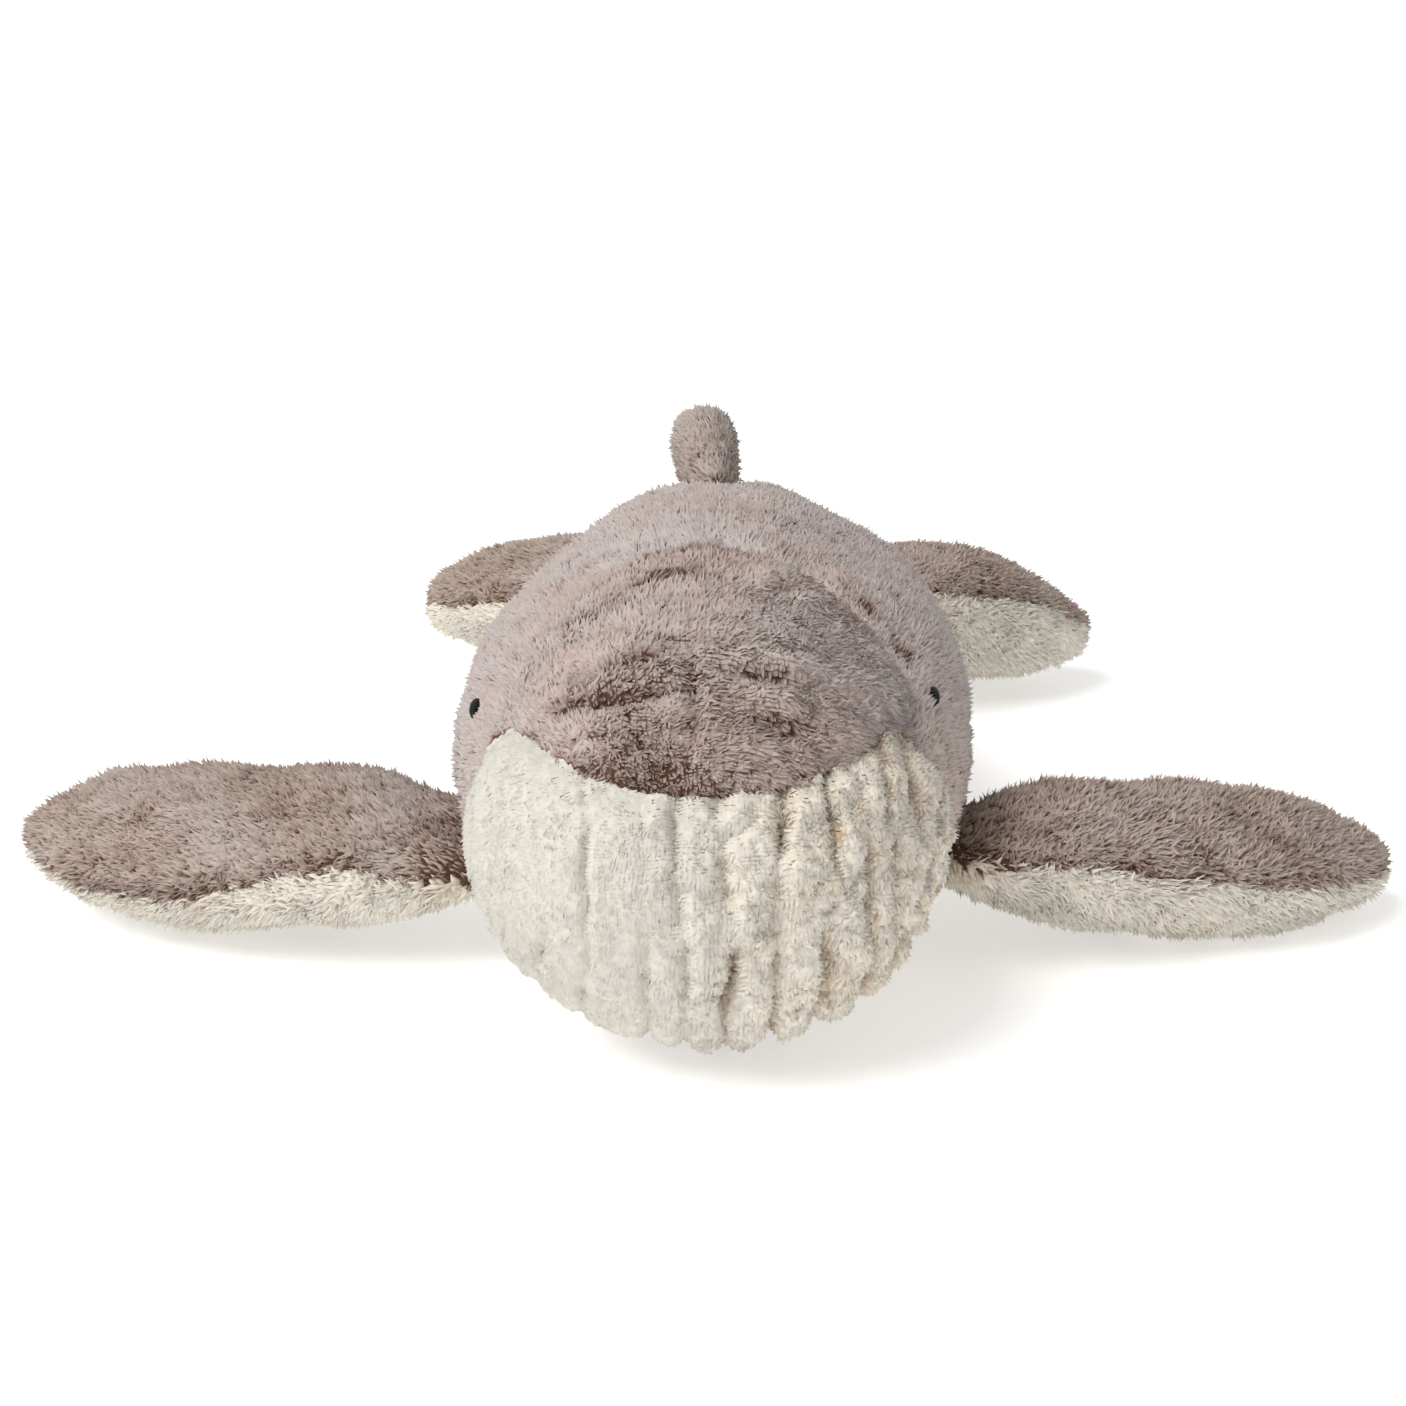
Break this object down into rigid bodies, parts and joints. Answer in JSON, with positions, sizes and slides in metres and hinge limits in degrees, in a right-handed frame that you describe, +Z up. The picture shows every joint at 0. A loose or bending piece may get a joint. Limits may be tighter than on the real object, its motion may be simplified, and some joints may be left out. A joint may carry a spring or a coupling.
{
  "type": "plush baleen whale",
  "caption": "Stuffed plush whale lying on its belly, with grey-brown back, ribbed cream throat, padded flippers, a small dorsal fin and tail flukes that flex at their root seams.",
  "frame": {"origin": "on the surface that the whale lies on, under the middle of its outline", "axes": "+Z up; the head faces -Y and the tail +Y; +X is the whale's own left"},
  "size_m": [0.567, 0.5962, 0.1728],
  "materials": {
    "taupe_plush": "long-pile plush, grey-brown with a pinkish sheen",
    "cream_plush": "long-pile plush, warm off-white",
    "eye_thread": "satin-stitched black embroidery thread",
    "stuffing": "loose polyester fibre filling"
  },
  "bodies": {
    "body": {"throat_panel": "cream_plush", "belly_panel": "cream_plush", "forehead_panel": "taupe_plush", "back_panel_left": "taupe_plush", "back_panel_right": "taupe_plush", "eye_left": "eye_thread", "eye_right": "eye_thread", "body_stuffing": "stuffing"},
    "left_flipper": {"left_flipper_top": "taupe_plush", "left_flipper_bottom": "cream_plush", "left_flipper_stuffing": "stuffing"},
    "right_flipper": {"right_flipper_top": "taupe_plush", "right_flipper_bottom": "cream_plush", "right_flipper_stuffing": "stuffing"},
    "left_fluke": {"left_fluke_top": "taupe_plush", "left_fluke_bottom": "cream_plush", "left_fluke_stuffing": "stuffing"},
    "right_fluke": {"right_fluke_top": "taupe_plush", "right_fluke_bottom": "cream_plush", "right_fluke_stuffing": "stuffing"},
    "dorsal_fin": {"dorsal_fin_panel_left": "taupe_plush", "dorsal_fin_panel_right": "taupe_plush", "dorsal_fin_stuffing": "stuffing"}
  },
  "joints": [
    {"name": "left_flipper_flap", "type": "hinge", "parent": "body", "child": "left_flipper", "pos_m": [0.09951, -0.1241, 0.0428], "axis": [0.0142, -0.9877, 0.1558], "range_deg": [-25, 45], "stiffness_Nm_per_rad": 0.6},
    {"name": "right_flipper_flap", "type": "hinge", "parent": "body", "child": "right_flipper", "pos_m": [-0.09852, -0.1241, 0.0428], "axis": [-0.0037, 0.9986, 0.0522], "range_deg": [-25, 45], "stiffness_Nm_per_rad": 0.6},
    {"name": "dorsal_fin_lean", "type": "hinge", "parent": "body", "child": "dorsal_fin", "pos_m": [0.00225, 0.10433, 0.13936], "axis": [0, 0.9251, -0.3797], "range_deg": [-30, 30], "stiffness_Nm_per_rad": 0.1},
    {"name": "left_fluke_flap", "type": "hinge", "parent": "body", "child": "left_fluke", "pos_m": [0.05752, 0.2179, 0.058], "axis": [0.2481, -0.8751, 0.4155], "range_deg": [-25, 35], "stiffness_Nm_per_rad": 0.5},
    {"name": "right_fluke_flap", "type": "hinge", "parent": "body", "child": "right_fluke", "pos_m": [-0.01269, 0.2179, 0.058], "axis": [0.3746, 0.9039, -0.2064], "range_deg": [-25, 35], "stiffness_Nm_per_rad": 0.5}
  ]
}
